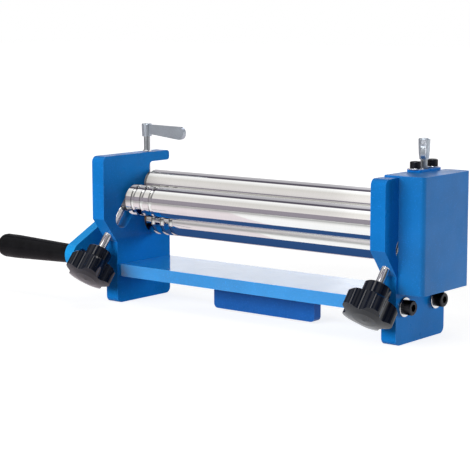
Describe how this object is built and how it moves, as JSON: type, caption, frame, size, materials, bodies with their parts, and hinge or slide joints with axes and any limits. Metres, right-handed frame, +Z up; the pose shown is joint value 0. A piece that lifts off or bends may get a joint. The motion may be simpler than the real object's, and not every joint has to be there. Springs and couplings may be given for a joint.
{
  "type": "slip roll machine",
  "caption": "Bench slip roll: three ground steel rolls between two side plates on a bed, with a crank, a gear cover, clamp levers and star knobs.",
  "frame": {"origin": "centre of the bottom face of the vise tongue under the bed", "axes": "+X along the rolls from the crank to the gear cover, +Y to the rear, away from the adjusting knobs, +Z up"},
  "size_m": [0.5011, 0.1313, 0.1764],
  "materials": {
    "blue_plate": "gloss enamel",
    "blue_bed": "gloss enamel",
    "blue_tongue": "gloss enamel",
    "blue_cover": "gloss enamel",
    "blue_cap": "gloss enamel",
    "blue_crank": "gloss enamel",
    "black_screw": "black oxide",
    "zinc_washer": "zinc plated",
    "zinc_nut": "zinc plated",
    "roll_steel": "ground and polished",
    "bronze_bush": "turned",
    "gear_steel": "machined and oiled",
    "key_steel": "ground",
    "spring_steel": "phosphated",
    "turned_steel": "bright turned",
    "stud_steel": "zinc plated",
    "bearing_steel": "turned",
    "lever_zinc": "cast and tumbled",
    "collar_plastic": "moulded",
    "grip_plastic": "moulded",
    "knob_plastic": "moulded"
  },
  "bodies": {
    "frame": {"left_side_plate": "blue_plate", "right_side_plate": "blue_plate", "bed_plate": "blue_bed", "vise_tongue": "blue_tongue", "bed_screws_left": "black_screw", "bed_screws_right": "black_screw", "bed_washers_left": "zinc_washer", "bed_washers_right": "zinc_washer", "gear_cover": "blue_cover", "cover_screws": "black_screw", "cover_nuts": "zinc_nut", "cap_bar": "blue_cap", "cap_screws": "black_screw", "cap_washers": "zinc_washer", "lower_bush_left": "bronze_bush", "lower_bush_right": "bronze_bush", "clamp_collar_left": "zinc_washer"},
    "lower_roll_body": {"lower_roll": "roll_steel", "lower_roll_gear": "gear_steel", "lower_roll_gear_key": "key_steel", "lower_roll_gear_ring": "spring_steel", "crank_arm": "blue_crank", "crank_set_screw": "black_screw", "crank_spindle": "turned_steel", "crank_spindle_nut": "zinc_nut", "crank_collar": "collar_plastic"},
    "grip": {"crank_grip": "grip_plastic"},
    "top_carriage": {"top_bearing_left": "bearing_steel", "top_bearing_right": "bearing_steel"},
    "top_roll_body": {"top_roll": "roll_steel", "top_roll_gear": "gear_steel", "top_roll_gear_key": "key_steel", "top_roll_gear_ring": "spring_steel"},
    "left_clamp": {"clamp_stud_left": "stud_steel", "clamp_lever_left": "lever_zinc"},
    "right_clamp": {"clamp_stud_right": "stud_steel", "clamp_lever_right": "lever_zinc"},
    "bending_carriage": {"bending_bearing_left": "bearing_steel", "bending_bearing_right": "bearing_steel"},
    "bending_roll_body": {"bending_roll": "roll_steel"},
    "left_adjuster": {"adjust_screw_left": "turned_steel", "adjust_knob_left": "knob_plastic"},
    "right_adjuster": {"adjust_screw_right": "turned_steel", "adjust_knob_right": "knob_plastic"}
  },
  "joints": [
    {"name": "crank_turn", "type": "hinge", "parent": "frame", "child": "lower_roll_body", "pos_m": [0, 0.015, 0.077], "axis": [1, 0, 0], "continuous": true},
    {"name": "grip_spin", "type": "hinge", "parent": "lower_roll_body", "child": "grip", "pos_m": [-0.2, -0.05296, 0.04458], "axis": [1, 0, 0], "continuous": true},
    {"name": "top_lift", "type": "slide", "parent": "frame", "child": "top_carriage", "axis": [0, 0, 1], "range_m": [-0.00475, 0.00075]},
    {"name": "top_roll_spin", "type": "hinge", "parent": "top_carriage", "child": "top_roll_body", "pos_m": [0, 0.015, 0.112], "axis": [1, 0, 0], "continuous": true},
    {"name": "left_clamp_turn", "type": "hinge", "parent": "top_carriage", "child": "left_clamp", "pos_m": [-0.1635, 0.015, 0.15], "axis": [0, 0, 1], "range_deg": [-1710.01, 270.01]},
    {"name": "right_clamp_turn", "type": "hinge", "parent": "top_carriage", "child": "right_clamp", "pos_m": [0.1635, 0.015, 0.15], "axis": [0, 0, 1], "range_deg": [-1710.01, 270.01]},
    {"name": "bending_slide", "type": "slide", "parent": "frame", "child": "bending_carriage", "axis": [0, 0.6361, 0.7716], "range_m": [-0.018, 0.0015]},
    {"name": "bending_roll_spin", "type": "hinge", "parent": "bending_carriage", "child": "bending_roll_body", "pos_m": [0, -0.01576, 0.09942], "axis": [1, 0, 0], "continuous": true},
    {"name": "left_adjuster_turn", "type": "hinge", "parent": "bending_carriage", "child": "left_adjuster", "pos_m": [-0.1635, -0.01576, 0.09942], "axis": [0, 0.6361, 0.7716], "range_deg": [-5184.01, 432.01]},
    {"name": "right_adjuster_turn", "type": "hinge", "parent": "bending_carriage", "child": "right_adjuster", "pos_m": [0.1635, -0.01576, 0.09942], "axis": [0, 0.6361, 0.7716], "range_deg": [-5184.01, 432.01]}
  ],
  "couplings": [
    {"joint": "top_roll_spin", "follows": "crank_turn", "ratio": -1},
    {"joint": "left_clamp_turn", "follows": "top_lift", "rad_per_m": 6283.2},
    {"joint": "right_clamp_turn", "follows": "top_lift", "rad_per_m": 6283.2},
    {"joint": "left_adjuster_turn", "follows": "bending_slide", "rad_per_m": 5026.5},
    {"joint": "right_adjuster_turn", "follows": "bending_slide", "rad_per_m": 5026.5}
  ]
}
